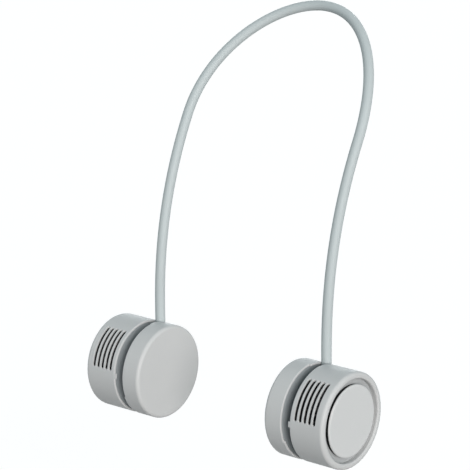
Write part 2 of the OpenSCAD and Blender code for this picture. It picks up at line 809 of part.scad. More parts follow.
// Radial fan: back disc, ring of blades and the cap over the motor
module impeller() {
    color(dark) difference() {
        union() {
            bar(fan_r, fan_x0, fan_x0 + fan_disc_t);
            bar(fan_cap_r, fan_x0, fan_cap_x1);
            ring(fan_r - fan_ring_w, fan_r, fan_x1 - fan_ring_t, fan_x1);
            for (i = [0 : blade_count - 1]) spoke(i * 360 / blade_count)
                translate([0, 0, fan_x0 + fan_disc_t / 2])
                linear_extrude(height = fan_x1 - fan_x0 - fan_disc_t / 2 - fan_ring_t / 2)
                polygon(concat(blade_side(-1), reversed(blade_side(1))));
        }
        bar(rotor_r + fit, fan_x0 - cut_over, fan_cap_x1 - fan_cap_wall);
    }
}

// Curved circuit board with the switch behind the power button
module control_board() {
    color(board_green) union() {
        difference() {
            arc_band(board_from, board_to, board_in_r, board_out_r, board_x0, board_x0 + board_t);
            spoke(button_angle) translate([switch_out_r, 0, button_x]) rotate([0, 90, 0])
                cylinder(r = button_r + button_lip + part_gap, h = pod_r);
        }
        spoke(button_angle) translate([switch_out_r - switch_l, -switch_w / 2, button_x - button_plunger_r])
            cube([switch_l, switch_w, board_x0 - button_x + button_plunger_r + sink]);
    }
}

// Metal shell and tongue of the charging port
module charge_port() {
    color(steel) union() {
        difference() {
            port_form(port_w, port_h, port_out_r - port_l, port_out_r);
            port_form(port_w - 2 * port_wall, port_h - 2 * port_wall, port_out_r - port_l + port_wall,
                port_out_r + cut_over);
        }
        spoke(port_angle) translate([port_out_r - port_l, -port_tongue_w / 2, port_x - port_tongue_t / 2])
            cube([port_l - 2 * port_wall, port_tongue_w, port_tongue_t]);
    }
}

// Power button with its inner lip and plunger, pressed towards the pods' axis
module power_button() {
    color(shell_grey) spoke(button_angle) translate([0, 0, button_x]) rotate([0, 90, 0]) union() {
        translate([0, 0, button_lip_r])
            cylinder(r = button_r, h = pod_r + button_proud - button_lip_r);
        translate([0, 0, button_lip_r - button_lip_t])
            cylinder(r = button_r + button_lip, h = button_lip_t);
        translate([0, 0, switch_out_r + button_travel + fit])
            cylinder(r = button_plunger_r, h = button_lip_r - switch_out_r - button_travel);
    }
}

right_side() neck_tube();
right_side() neck_spine();
left_side() ferrule();  // left_ferrule
left_side() hub();  // left_hub
left_side() spindle();  // left_spindle
left_side() spindle_clip();  // left_spindle_clip
left_side() friction_washer();  // left_friction_washer
left_side() disc_shell();  // left_disc_shell
left_side() disc_cover();  // left_disc_cover
left_side() disc_screws();  // left_disc_screws
left_side() battery();  // left_battery
left_side() motor_lead();  // left_motor_lead
left_side() drum_shell();  // left_drum_shell
left_side() drum_back();  // left_drum_back
left_side() drum_screws();  // left_drum_screws
left_side() scroll();  // left_scroll
left_side() inlet_plate();  // left_inlet_plate
left_side() face_disc();  // left_face_disc
left_side() motor_plate();  // left_motor_plate
left_side() stator();  // left_stator
left_side() coils();  // left_coils
left_side() bearing();  // left_bearing
left_side() impeller();  // left_impeller
left_side() rotor_cup();  // left_rotor_cup
left_side() magnet_ring();  // left_magnet_ring
left_side() motor_shaft();  // left_motor_shaft
right_side() ferrule();  // right_ferrule
right_side() hub();  // right_hub
right_side() spindle();  // right_spindle
right_side() spindle_clip();  // right_spindle_clip
right_side() friction_washer();  // right_friction_washer
right_side() right_disc_shell_solid();  // right_disc_shell
right_side() disc_cover();  // right_disc_cover
right_side() disc_screws();  // right_disc_screws
right_side() battery();  // right_battery
right_side() motor_lead();  // right_motor_lead
right_side() drum_shell();  // right_drum_shell
right_side() drum_back();  // right_drum_back
right_side() drum_screws();  // right_drum_screws
right_side() scroll();  // right_scroll
right_side() inlet_plate();  // right_inlet_plate
right_side() face_disc();  // right_face_disc
right_side() motor_plate();  // right_motor_plate
right_side() stator();  // right_stator
right_side() coils();  // right_coils
right_side() bearing();  // right_bearing
right_side() impeller();  // right_impeller
right_side() rotor_cup();  // right_rotor_cup
right_side() magnet_ring();  // right_magnet_ring
right_side() motor_shaft();  // right_motor_shaft
right_side() control_board();
right_side() charge_port();
right_side() power_button();
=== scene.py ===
import math

import bmesh
import bpy
from mathutils import Matrix, Vector


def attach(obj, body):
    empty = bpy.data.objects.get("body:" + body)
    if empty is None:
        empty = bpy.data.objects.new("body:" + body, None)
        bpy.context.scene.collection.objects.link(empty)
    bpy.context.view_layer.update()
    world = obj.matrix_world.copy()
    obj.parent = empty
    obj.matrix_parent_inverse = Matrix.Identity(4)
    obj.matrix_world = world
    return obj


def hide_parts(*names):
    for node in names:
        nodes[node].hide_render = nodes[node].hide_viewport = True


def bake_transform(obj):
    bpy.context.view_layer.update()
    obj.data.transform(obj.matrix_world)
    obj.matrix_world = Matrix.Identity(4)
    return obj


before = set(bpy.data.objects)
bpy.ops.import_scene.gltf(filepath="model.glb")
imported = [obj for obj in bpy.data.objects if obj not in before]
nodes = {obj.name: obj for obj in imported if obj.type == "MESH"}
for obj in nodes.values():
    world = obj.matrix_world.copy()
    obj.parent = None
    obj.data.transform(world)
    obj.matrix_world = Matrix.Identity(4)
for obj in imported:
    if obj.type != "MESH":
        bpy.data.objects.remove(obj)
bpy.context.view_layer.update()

mm = 0.001

# both pods share one axis along X; angles start at a pod's top and grow towards the back
pod = {"y": -99.0, "z": -239.3, "radius": 32.0, "wall": 1.5, "steps": 180}
rowPlace = Matrix.Translation((0, pod["y"] * mm, pod["z"] * mm))
podPlace = rowPlace @ Matrix(((0, 0, mm, 0), (0, mm, 0, 0), (mm, 0, 0, 0), (0, 0, 0, 1)))
# forms are in millimetres until finishPiece places them
work = {"weld": 0.002,      # points closer than this become one
    "same": 0.001,          # a point this near to a circle is on it
    "cut": 0.0001,          # a point this near to a cutting plane is on it
    "past": 0.1,            # how far past an edge a limit lies when it picks points or faces
    "overlap": 0.2,         # how deep a rib or post goes into the wall that carries it
    "corner": 1.0,          # edges that turn by more than this many radians are corners
    "postSides": 28}
# how many faces go across a rounded edge
rounds = {"wide": 10, "middle": 6, "button": 5, "small": 4, "fine": 3}
print("stage: frame loaded,", len(nodes), "nodes")


# shapes

def weld(bm):
    bmesh.ops.remove_doubles(bm, verts=bm.verts, dist=work["weld"])


def everything(bm):
    return bm.verts[:] + bm.edges[:] + bm.faces[:]


def lathe(bm, outline, start=0.0, turn=360.0, closed=False):
    # outline holds (radius, place along the axis); it is turned about the local Z axis
    a = math.radians(start)
    ring = [bm.verts.new((r * math.cos(a), r * math.sin(a), z)) for r, z in outline]
    pairs = list(zip(ring, ring[1:])) + ([(ring[-1], ring[0])] if closed else [])
    edges = [bm.edges.new(p) for p in pairs]
    bmesh.ops.spin(bm, geom=ring + edges, cent=(0, 0, 0), axis=(0, 0, 1), angle=math.radians(turn),
                   steps=max(1, round(pod["steps"] * turn / 360)), use_merge=turn == 360)


def roundRing(bm, r, z, width, segments):
    # rounds the circular edge at a radius and a place along the axis
    def on(v):
        return abs(v.co.xy.length - r) < work["same"] and abs(v.co.z - z) < work["same"]
    edges = [e for e in bm.edges if on(e.verts[0]) and on(e.verts[1])]
    bmesh.ops.bevel(bm, geom=edges, offset=width, offset_type="OFFSET", segments=segments, profile=0.5,
                    affect="EDGES", clamp_overlap=True, material=-1)


def join(bm, other):
    # adds another form to this one
    held = bpy.data.meshes.new("held")
    other.to_mesh(held)
    other.free()
    bm.from_mesh(held)
    bpy.data.meshes.remove(held)


def pillar(bm, radius, place, angle, z0, z1, hole=0.0, deep=0.0):
    # round boss, with a screw hole in its end at z0 where deep is above 0 and at z1 where it is below
    post = bmesh.new()
    bmesh.ops.create_cone(post, cap_ends=True, segments=work["postSides"], radius1=radius, radius2=radius,
                          depth=z1 - z0)
    if hole:
        end = [f for f in post.faces if f.normal.z * math.copysign(1, deep) < -0.5]
        bmesh.ops.inset_region(post, faces=end, thickness=radius - hole)
        sunk = bmesh.ops.extrude_face_region(post, geom=end)
        bmesh.ops.delete(post, geom=end, context="FACES")
        floor = [v for v in sunk["geom"] if isinstance(v, bmesh.types.BMVert)]
        bmesh.ops.translate(post, vec=(0, 0, deep), verts=floor)
    a = math.radians(angle)
    middle = (place * math.cos(a), place * math.sin(a), (z0 + z1) / 2)
    bmesh.ops.translate(post, vec=middle, verts=post.verts)
    join(bm, post)


def finishPiece(name, bm, finish, body, stands=(), side=1, place=podPlace, sharp=38.0,
                even=True):
    # puts a form in the row frame, mirrors it for the left side and gives it its finish and its body
    weld(bm)
    bm.transform(Matrix.Scale(side, 4, (1, 0, 0)) @ place)
    bmesh.ops.recalc_face_normals(bm, faces=bm.faces)
    mesh = bpy.data.meshes.new(name)
    bm.to_mesh(mesh)
    bm.free()
    mesh.shade_smooth()
    mesh.set_sharp_from_angle(angle=math.radians(sharp))
    piece = bpy.data.objects.new(name, mesh)
    bpy.context.scene.collection.objects.link(piece)
    mesh.materials.append(finish)
    if even:
        shade = piece.modifiers.new("evenShade", "WEIGHTED_NORMAL")
        shade.keep_sharp = True
    if body:
        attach(piece, body)
    if stands:
        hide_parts(*stands)
    return piece


# materials

# places of the mix node's colour sockets, which share their names with its other kinds of socket
mixSocket = {"mask": 0, "first": 6, "second": 7, "result": 2}


def newGroup(name, takes, gives):
    # every group also takes a Vector
    group = bpy.data.node_groups.new(name, "ShaderNodeTree")
    group.interface.new_socket(name="Vector", in_out="INPUT", socket_type="NodeSocketVector")
    for label in takes:
        group.interface.new_socket(name=label, in_out="INPUT", socket_type="NodeSocketFloat")
    for label in gives:
        group.interface.new_socket(name=label, in_out="OUTPUT", socket_type="NodeSocketFloat")
    return group, group.nodes.new("NodeGroupInput").outputs, group.nodes.new("NodeGroupOutput").inputs


def feed(tree, socket, value):
    # joins another node's socket to this one, or sets a plain value on it
    if isinstance(value, bpy.types.NodeSocket):
        tree.links.new(value, socket)
    elif socket.type == "RGBA":
        socket.default_value = (*value, 1)
    else:
        socket.default_value = value


def mathNode(tree, operation, a, b=0.0):
    node = tree.nodes.new("ShaderNodeMath")
    node.operation = operation
    feed(tree, node.inputs[0], a)
    feed(tree, node.inputs[1], b)
    return node.outputs[0]


def mixColour(tree, mask, first, second):
    node = tree.nodes.new("ShaderNodeMix")
    node.data_type = "RGBA"
    feed(tree, node.inputs[mixSocket["mask"]], mask)
    feed(tree, node.inputs[mixSocket["first"]], first)
    feed(tree, node.inputs[mixSocket["second"]], second)
    return node.outputs[mixSocket["result"]]


def noiseNode(tree, vector, scale, detail, rough):
    node = tree.nodes.new("ShaderNodeTexNoise")
    feed(tree, node.inputs["Vector"], vector)
    feed(tree, node.inputs["Scale"], scale)
    feed(tree, node.inputs["Detail"], detail)
    feed(tree, node.inputs["Roughness"], rough)
    return node.outputs["Fac"]


def mouldedGrainGroup():
    # fine spark-eroded grain of a mould, with a slow change of tone over the piece
    cell = {"scale": 0.45, "height": 0.6}   # shares of the grain's count and of its height
    tree, given, out = newGroup("mouldedGrain", ["Grain", "Patch"], ["Height", "Tone"])
    grit = noiseNode(tree, given["Vector"], given["Grain"], detail=2.0, rough=0.6)
    cells = tree.nodes.new("ShaderNodeTexVoronoi")
    feed(tree, cells.inputs["Vector"], given["Vector"])
    feed(tree, cells.inputs["Scale"], mathNode(tree, "MULTIPLY", given["Grain"], cell["scale"]))
    soft = mathNode(tree, "MULTIPLY", cells.outputs["Distance"], cell["height"])
    feed(tree, out["Height"], mathNode(tree, "ADD", grit, soft))
    feed(tree, out["Tone"], noiseNode(tree, given["Vector"], given["Patch"], detail=3.0, rough=0.55))
    return tree


def handlingGroup():
    # faint rubbed patches and dust, as a mask from 0 to 1
    rubbed = {"From Min": 0.48, "From Max": 0.68}   # the part of the noise that shows
    tree, given, out = newGroup("handlingMarks", ["Size", "Amount"], ["Mask"])
    patch = noiseNode(tree, given["Vector"], given["Size"], detail=5.0, rough=0.65)
    ramp = tree.nodes.new("ShaderNodeMapRange")
    feed(tree, ramp.inputs["Value"], patch)
    for label, value in rubbed.items():
        feed(tree, ramp.inputs[label], value)
    feed(tree, out["Mask"], mathNode(tree, "MULTIPLY", ramp.outputs["Result"], given["Amount"]))
    return tree


def turnedGroup():
    # rings left by turning or winding, round the pods' axis
    tree, given, out = newGroup("turnedRings", ["Rings"], ["Height"])
    move = tree.nodes.new("ShaderNodeMapping")
    move.inputs["Location"].default_value = (0, -pod["y"] * mm, -pod["z"] * mm)
    feed(tree, move.inputs["Vector"], given["Vector"])
    wave = tree.nodes.new("ShaderNodeTexWave")
    wave.wave_type = "RINGS"
    wave.rings_direction = "X"
    feed(tree, wave.inputs["Vector"], move.outputs["Vector"])
    feed(tree, wave.inputs["Scale"], given["Rings"])
    feed(tree, wave.inputs["Distortion"], 0.0)
    feed(tree, out["Height"], wave.outputs["Fac"])
    return tree


grain = mouldedGrainGroup()
marks = handlingGroup()
rings = turnedGroup()


def placeGroup(tree, group, vector, **values):
    node = tree.nodes.new("ShaderNodeGroup")
    node.node_tree = group
    feed(tree, node.inputs["Vector"], vector)
    for label, value in values.items():
        feed(tree, node.inputs[label], value)
    return node.outputs


# what a finish has where it doesn't say otherwise; depth is the bump's height in metres
usual = {"marks": 0.4, "markSize": 90.0, "metal": 0.0, "specular": 0.4, "sheen": 0.0, "roughChange": -0.08,
    "depth": 0.00004, "grainUnderRings": 0.25}


def makeFinish(name, given):
    look = {**usual, **given}
    material = bpy.data.materials.new(name)
    material.use_nodes = True
    tree = material.node_tree
    shader = tree.nodes["Principled BSDF"].inputs
    where = tree.nodes.new("ShaderNodeTexCoord").outputs["Object"]
    body = placeGroup(tree, grain, where, Grain=look["grain"], Patch=look["patch"])
    worn = placeGroup(tree, marks, where, Size=look["markSize"], Amount=look["marks"])
    shown = mixColour(tree, body["Tone"], look["colour"], look["second"])
    shown = mixColour(tree, worn["Mask"], shown, look["second"])
    if "paintedShadeLining" in look:   # the side that faces the fan is dark: painted shade inside the drum, seen through the slots and the inlet
        split = tree.nodes.new("ShaderNodeSeparateXYZ")
        feed(tree, split.inputs["Vector"], where)
        out = mathNode(tree, "ABSOLUTE", split.outputs["X"])
        inside = mathNode(tree, "GREATER_THAN", out, look["paintedShadeFrom"] * mm)
        shown = mixColour(tree, inside, shown, look["paintedShadeLining"])
    feed(tree, shader["Base Color"], shown)
    gloss = tree.nodes.new("ShaderNodeMapRange")
    feed(tree, gloss.inputs["Value"], worn["Mask"])
    feed(tree, gloss.inputs["To Min"], look["rough"])
    feed(tree, gloss.inputs["To Max"], look["rough"] + look["roughChange"])
    feed(tree, shader["Roughness"], gloss.outputs["Result"])
    feed(tree, shader["Metallic"], look["metal"])
    feed(tree, shader["Specular IOR Level"], look["specular"])
    feed(tree, shader["Sheen Weight"], look["sheen"])
    height = body["Height"]
    if "rings" in look:
        turned = placeGroup(tree, rings, where, Rings=look["rings"])
        under = mathNode(tree, "MULTIPLY", height, look["grainUnderRings"])
        height = mathNode(tree, "ADD", under, turned["Height"])
    bump = tree.nodes.new("ShaderNodeBump")
    feed(tree, bump.inputs["Strength"], look["bump"])
    feed(tree, bump.inputs["Distance"], look["depth"])
    feed(tree, bump.inputs["Height"], height)
    feed(tree, shader["Normal"], bump.outputs["Normal"])
    return material


# colour and second are the two tones that a finish changes between; grain, patch and rings are counts per
# metre, and the start of the dark lining of painted shade is a place along the pods' axis in millimetres
finishes = {
    "shellPlastic": {"colour": (0.535, 0.544, 0.543), "second": (0.560, 0.568, 0.567), "rough": 0.52,
        "grain": 5200.0, "patch": 40.0, "bump": 0.22, "marks": 0.25, "specular": 0.25},
    "facePlastic": {"colour": (0.588, 0.602, 0.602), "second": (0.610, 0.620, 0.619), "rough": 0.49,
        "grain": 5200.0, "patch": 40.0, "bump": 0.18, "marks": 0.2, "specular": 0.3},
    # inner grey of the faces in the gaps: their own grey, made darker as painted shade between the parts
    "innerGreyAndPaintedShade": {"colour": (0.300, 0.330, 0.345), "second": (0.330, 0.360, 0.372), "rough": 0.55,
        "grain": 4200.0, "patch": 60.0, "bump": 0.3},
    # the ledge round the eye: the shell's grey darkened as painted shade in the recess
    "ledgePaintedShade": {"colour": (0.400, 0.420, 0.425), "second": (0.430, 0.450, 0.455), "rough": 0.55,
        "grain": 5200.0, "patch": 40.0, "bump": 0.22, "specular": 0.25},
    # the drum's back: the inner grey, with painted shade on the side that faces the fan
    "paintedShadeLinedPlastic": {"colour": (0.300, 0.330, 0.345), "second": (0.330, 0.360, 0.372), "rough": 0.55,
        "grain": 4200.0, "patch": 60.0, "bump": 0.3, "paintedShadeLining": (0.022, 0.023, 0.025), "paintedShadeFrom": 76.8},
    # near-black: the scroll's own black plastic, and painted shade where it stands on the hub, the inlet
    # plate and the face disc's back
    "darkPlasticAndPaintedShade": {"colour": (0.018, 0.019, 0.021), "second": (0.028, 0.029, 0.031), "rough": 0.55,
        "grain": 4200.0, "patch": 80.0, "bump": 0.3},
    "fanPlastic": {"colour": (0.022, 0.023, 0.025), "second": (0.035, 0.036, 0.038), "rough": 0.38,
        "grain": 6500.0, "patch": 90.0, "bump": 0.15},
    "silicone": {"colour": (0.452, 0.502, 0.508), "second": (0.474, 0.523, 0.529), "rough": 0.58,
        "grain": 8000.0, "patch": 30.0, "bump": 0.06, "marks": 0.35, "sheen": 0.12, "specular": 0.35,
        "roughChange": 0.1},
    "rubber": {"colour": (0.020, 0.020, 0.021), "second": (0.032, 0.032, 0.033), "rough": 0.72,
        "grain": 3500.0, "patch": 120.0, "bump": 0.4},
    "leadSheath": {"colour": (0.025, 0.025, 0.027), "second": (0.035, 0.035, 0.037), "rough": 0.5,
        "grain": 6000.0, "patch": 120.0, "bump": 0.2},
    "cellFoil": {"colour": (0.60, 0.61, 0.62), "second": (0.68, 0.69, 0.70), "rough": 0.36, "metal": 1.0,
        "grain": 900.0, "patch": 150.0, "bump": 0.5, "depth": 0.0001},
    "turnedSteel": {"colour": (0.56, 0.57, 0.58), "second": (0.62, 0.63, 0.64), "rough": 0.30, "metal": 1.0,
        "grain": 6000.0, "patch": 140.0, "bump": 0.25, "rings": 1400.0},
    "drawnSteel": {"colour": (0.60, 0.61, 0.62), "second": (0.66, 0.67, 0.68), "rough": 0.26, "metal": 1.0,
        "grain": 9000.0, "patch": 200.0, "bump": 0.12},
    "copperWire": {"colour": (0.62, 0.27, 0.11), "second": (0.72, 0.34, 0.15), "rough": 0.32, "metal": 1.0,
        "grain": 5000.0, "patch": 200.0, "bump": 0.8, "rings": 1250.0, "depth": 0.0001},
    "bronze": {"colour": (0.50, 0.34, 0.16), "second": (0.60, 0.42, 0.22), "rough": 0.45, "metal": 1.0,
        "grain": 7000.0, "patch": 300.0, "bump": 0.6},
    "magnet": {"colour": (0.060, 0.060, 0.064), "second": (0.085, 0.085, 0.090), "rough": 0.45,
        "metal": 0.6, "grain": 8000.0, "patch": 200.0, "bump": 0.4},
    "solderMask": {"colour": (0.018, 0.120, 0.060), "second": (0.030, 0.165, 0.085), "rough": 0.34,
        "grain": 3000.0, "patch": 700.0, "bump": 0.2},
}
made = {name: makeFinish(name, look) for name, look in finishes.items()}

# the hub and inlet plate are near-black as painted shade for the deep gap and the dark under the face disc
nodeFinish = {"ferrule": "drawnSteel", "hub": "darkPlasticAndPaintedShade", "spindle": "turnedSteel",
    "spindle_clip": "turnedSteel", "friction_washer": "rubber", "disc_shell": "shellPlastic",
    "disc_cover": "innerGreyAndPaintedShade", "disc_screws": "drawnSteel", "battery": "cellFoil",
    "motor_lead": "leadSheath", "drum_shell": "shellPlastic", "drum_back": "paintedShadeLinedPlastic",
    "drum_screws": "drawnSteel", "scroll": "darkPlasticAndPaintedShade", "inlet_plate": "darkPlasticAndPaintedShade",
    "face_disc": "facePlastic", "motor_plate": "solderMask", "stator": "turnedSteel",
    "coils": "copperWire", "bearing": "bronze", "impeller": "fanPlastic", "rotor_cup": "turnedSteel",
    "magnet_ring": "magnet", "motor_shaft": "turnedSteel", "neck_tube": "silicone",
    "neck_spine": "drawnSteel", "control_board": "solderMask", "charge_port": "drawnSteel",
    "power_button": "shellPlastic"}
for nodeName, node in nodes.items():
    plain = nodeName.removeprefix("left_").removeprefix("right_")
    if not node.material_slots:
        node.data.materials.append(None)
    for held in node.material_slots:
        held.material = made[nodeFinish[plain]]
print("stage: materials made,", len(made))


# neck tube and spine: each half follows the same curve as the solid

neck = {"tube": 3.4, "spine": 2.0, "tubeEnd": 13.4, "spineEnd": 4.4,
    "x": 70.9, "footY": 11.2, "bendZ": 22.0, "shoulder": (70.9, 41.1, 169.7), "top": (0.0, 99.0, 242.7),
    "lean": 27.7, "footPull": 24.0, "pullDown": 76.0, "pullUp": 50.0, "topPull": 36.3,
    "runSteps": 40, "roundSteps": 10, "sharp": 60.0,
    "bendFrom": 10.0, "bendTo": 60.0, "bendLine": (-10.1, -6.0)}


def neckPoints(endZ):
    # (place, handle before, handle after) of the curve's points, from the foot in the hub to the loop's top
    lean = math.radians(neck["lean"])
    along = Vector((0, math.sin(lean), math.cos(lean)))
    foot = Vector((neck["x"], neck["footY"], endZ))
    bend = Vector((neck["x"], neck["footY"], neck["bendZ"]))
    shoulder = Vector(neck["shoulder"])
    top = Vector(neck["top"])
    third = (bend - foot) / 3
    up = Vector((0, 0, neck["footPull"]))
    over = Vector((neck["topPull"], 0, 0))
    return [(foot, foot - third, foot + third),
        (bend, bend - third, bend + up),
        (shoulder, shoulder - neck["pullDown"] * along, shoulder + neck["pullUp"] * along),
        (top, top + over, top - over)]


def neckHalf(name, radius, endZ, side, finish, stands):
    line = bpy.data.curves.new(name + "Line", "CURVE")
    line.dimensions = "3D"
    line.resolution_u = neck["runSteps"]
    line.bevel_depth = radius
    line.bevel_resolution = neck["roundSteps"]
    line.use_fill_caps = True
    points = neckPoints(endZ)
    run = line.splines.new("BEZIER")
    run.bezier_points.add(len(points) - 1)
    for point, (at, before, after) in zip(run.bezier_points, points):
        point.co = at
        point.handle_left = before
        point.handle_right = after
    guide = bpy.data.objects.new(name + "Line", line)
    bpy.context.scene.collection.objects.link(guide)
    shape = bpy.data.meshes.new_from_object(guide.evaluated_get(bpy.context.evaluated_depsgraph_get()))
    bpy.data.objects.remove(guide)
    bm = bmesh.new()
    bm.from_mesh(shape)
    bpy.data.meshes.remove(shape)
    place = rowPlace @ Matrix.Diagonal((mm, mm, mm, 1))
    half = finishPiece(name, bm, finish, None, stands, side, place, neck["sharp"], even=False)
    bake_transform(half)


for sideName, side in (("right", 1), ("left", -1)):
    neckHalf(sideName + "TubeHalf", neck["tube"], neck["tubeEnd"], side, made["silicone"],
             ["neck_tube"])
    neckHalf(sideName + "SpineHalf", neck["spine"], neck["spineEnd"], side, made["drawnSteel"],
             ["neck_spine"])
print("stage: neck made")


# a stretch of a pod's wall with openings, cut flat and then bent round the axis

# corners counts the points round an opening; turned by half a step, none of them lies on its middle line
opening = {"corners": 32, "steps": rounds["small"]}


def flatFrame(flat, x0, x1, s0, s1, z):
    corner = [flat.verts.new((x, s, z)) for x, s in ((x0, s0), (x1, s0), (x1, s1), (x0, s1))]
    return [flat.edges.new((corner[i], corner[(i + 1) % 4])) for i in range(4)]


def cutHole(flat, hole, mid, wall):
    # a rounded edge and then straight walls down to the inside; gives the edges of both ends
    half = hole["half"]
    turn = Matrix.Rotation(math.pi / opening["corners"], 4, "Z")
    loop = bmesh.ops.create_circle(flat, cap_ends=False, segments=opening["corners"],
        radius=hole["end"] + hole["round"], matrix=Matrix.Translation((hole["x"], mid, 0)) @ turn)["verts"]
    for v in loop:
        v.co.y += half if v.co.y > mid else -half
    outer = list({e for v in loop for e in v.link_edges})
    edges = outer
    for k in range(opening["steps"] + 1):
        grown = bmesh.ops.extrude_edge_only(flat, edges=edges)["geom"]
        edges = [g for g in grown if isinstance(g, bmesh.types.BMEdge)]
        a = math.pi / 2 * k / opening["steps"]
        b = math.pi / 2 * (k + 1) / opening["steps"]
        for v in (g for g in grown if isinstance(g, bmesh.types.BMVert)):
            if k == opening["steps"]:
                v.co.z = -wall
                v.co.y = mid + (v.co.y - mid) * hole["spread"]
                v.co.x = hole["x"] + (v.co.x - hole["x"]) * hole["draft"]
                continue
            core = Vector((hole["x"], min(max(v.co.y, mid - half), mid + half), v.co.z))
            v.co = v.co + (core - v.co).normalized() * hole["round"] * (math.sin(b) - math.sin(a))
            v.co.z -= hole["round"] * (math.cos(a) - math.cos(b))
    return outer, edges


def holedWall(holes, x0, x1, fromAngle, toAngle):
    # a hole has its place along the axis and its angle, half the length of its straight sides round the
    # rim, the radius of its ends, its edge's rounding, and how much wider it gets inside: spread is
    # round the rim and draft along the axis
    flat = bmesh.new()
    radius = pod["radius"]
    wall = pod["wall"]
    perDegree = math.radians(1) * radius
    s0 = fromAngle * perDegree
    s1 = toAngle * perDegree
    outer = flatFrame(flat, x0, x1, s0, s1, 0)
    inner = []
    for hole in holes:
        above, below = cutHole(flat, hole, hole["angle"] * perDegree, wall)
        outer += above
        inner += below
    bmesh.ops.triangle_fill(flat, edges=outer, use_beauty=True)
    bmesh.ops.triangle_fill(flat, edges=inner + flatFrame(flat, x0, x1, s0, s1, -wall), use_beauty=True)
    step = 360 / pod["steps"]
    for k in range(1, round((toAngle - fromAngle) / step)):
        bmesh.ops.bisect_plane(flat, geom=everything(flat), dist=work["cut"],
                               plane_co=(0, s0 + k * step * perDegree, 0), plane_no=(0, 1, 0))
    for v in flat.verts:
        a = v.co.y / radius
        r = radius + v.co.z
        v.co = (r * math.cos(a), r * math.sin(a), v.co.x)
    return flat


# fan drum: x0, x1 and the other x values are places along the pods' axis; inlet, eye, collar and bossAt
# are radii, and from and to are the angles between which the slotted stretch lies

drum = {"x0": 74.7, "x1": 100.5, "faceRound": 2.4, "edgeRound": 0.5, "inlet": 27.6, "inletRound": 1.3,
    "ledgeX": 96.5, "eye": 23.5, "collar": 28.4, "collarX": 96.0, "ringX": 98.7,
    "from": -94.0, "to": -18.0, "seamX0": 76.0, "seamX1": 97.6,
    "bossAngles": (20, 110, 200), "bossAt": 28.6, "boss": 2.1, "bossHole": 0.8, "bossDeep": 7.5,
    "bossX0": 77.1, "bossX1": 94.7}
slots = {"count": 5, "first": 78.8, "pitch": 3.65, "width": 2.2, "mid": -56.0, "arc": 50.0, "round": 0.25,
    "draft": 1.32}
# the small block that stands out of the drum's back edge
nub = {"at": -88.5, "arc": 7.0, "x0": 73.4, "x1": 75.7, "in": 30.7, "out": 31.85, "round": 0.3}


def drumRim(bm):
    # the front with its rounded inlet and ledge, the back edge, and the wall apart from the slotted stretch
    r = pod["radius"]
    inside = r - pod["wall"]
    lathe(bm, [(r, drum["seamX1"]), (r, drum["x1"]), (drum["inlet"], drum["x1"]),
               (drum["inlet"], drum["ledgeX"]), (drum["eye"], drum["ledgeX"]), (drum["eye"], drum["collarX"]),
               (drum["collar"], drum["collarX"]), (drum["collar"], drum["ringX"]),
               (inside, drum["ringX"]), (inside, drum["seamX1"])])
    weld(bm)
    roundRing(bm, r, drum["x1"], drum["faceRound"], rounds["wide"])
    roundRing(bm, drum["inlet"], drum["x1"], drum["inletRound"], rounds["middle"])
    lathe(bm, [(r, drum["seamX0"]), (r, drum["x0"]), (inside, drum["x0"]), (inside, drum["seamX0"])])
    weld(bm)
    roundRing(bm, r, drum["x0"], drum["edgeRound"], rounds["small"])
    roundRing(bm, inside, drum["x0"], drum["edgeRound"] / 2, rounds["fine"])
    rest = 360 - (drum["to"] - drum["from"])
    for radius in (r, inside):
        lathe(bm, [(radius, drum["seamX0"]), (radius, drum["seamX1"])], drum["to"], rest)


def slottedWall():
    half = math.radians(slots["arc"] / 2) * pod["radius"]
    cuts = [{"x": slots["first"] + i * slots["pitch"], "angle": slots["mid"], "half": half,
             "end": slots["width"] / 2, "round": slots["round"], "spread": 1.0, "draft": slots["draft"]}
            for i in range(slots["count"])]
    return holedWall(cuts, drum["seamX0"], drum["seamX1"], drum["from"], drum["to"])


def rimNub():
    block = bmesh.new()
    outline = [(nub["in"], nub["x0"]), (nub["out"], nub["x0"]), (nub["out"], nub["x1"]),
               (nub["in"], nub["x1"])]
    lathe(block, outline, nub["at"] - nub["arc"] / 2, nub["arc"], closed=True)
    bmesh.ops.holes_fill(block, edges=block.edges, sides=0)
    corners = [e for e in block.edges if len(e.link_faces) == 2 and e.calc_face_angle() > work["corner"]]
    bmesh.ops.bevel(block, geom=corners, offset=nub["round"], segments=rounds["fine"], profile=0.5,
                    affect="EDGES", material=-1)
    return block


def drumShell(sideName, side):
    bm = bmesh.new()
    drumRim(bm)
    join(bm, slottedWall())
    weld(bm)
    for angle in drum["bossAngles"]:
        pillar(bm, drum["boss"], drum["bossAt"], angle, drum["bossX0"], drum["bossX1"], drum["bossHole"],
               drum["bossDeep"])
    join(bm, rimNub())
    shell = finishPiece(sideName + "DrumShell", bm, made["shellPlastic"], sideName + "_drum",
                        [sideName + "_drum_shell"], side)
    # the ledge and eye take a darker grey, which is painted shade in the recess
    shell.data.materials.append(made["ledgePaintedShade"])
    within = (drum["inlet"] - work["past"]) * mm
    behind = (drum["ledgeX"] + work["past"]) * mm
    for part in shell.data.polygons:   # the ledge round the eye is a little darker than the shell: painted shade in the recess
        out = math.hypot(part.center.y - pod["y"] * mm, part.center.z - pod["z"] * mm)
        part.material_index = int(out < within and abs(part.center.x) < behind)


# battery disc: band is where the part of the rim starts that the notch and the saddle lower, and from and
# to are the angles between which the right disc has its two openings

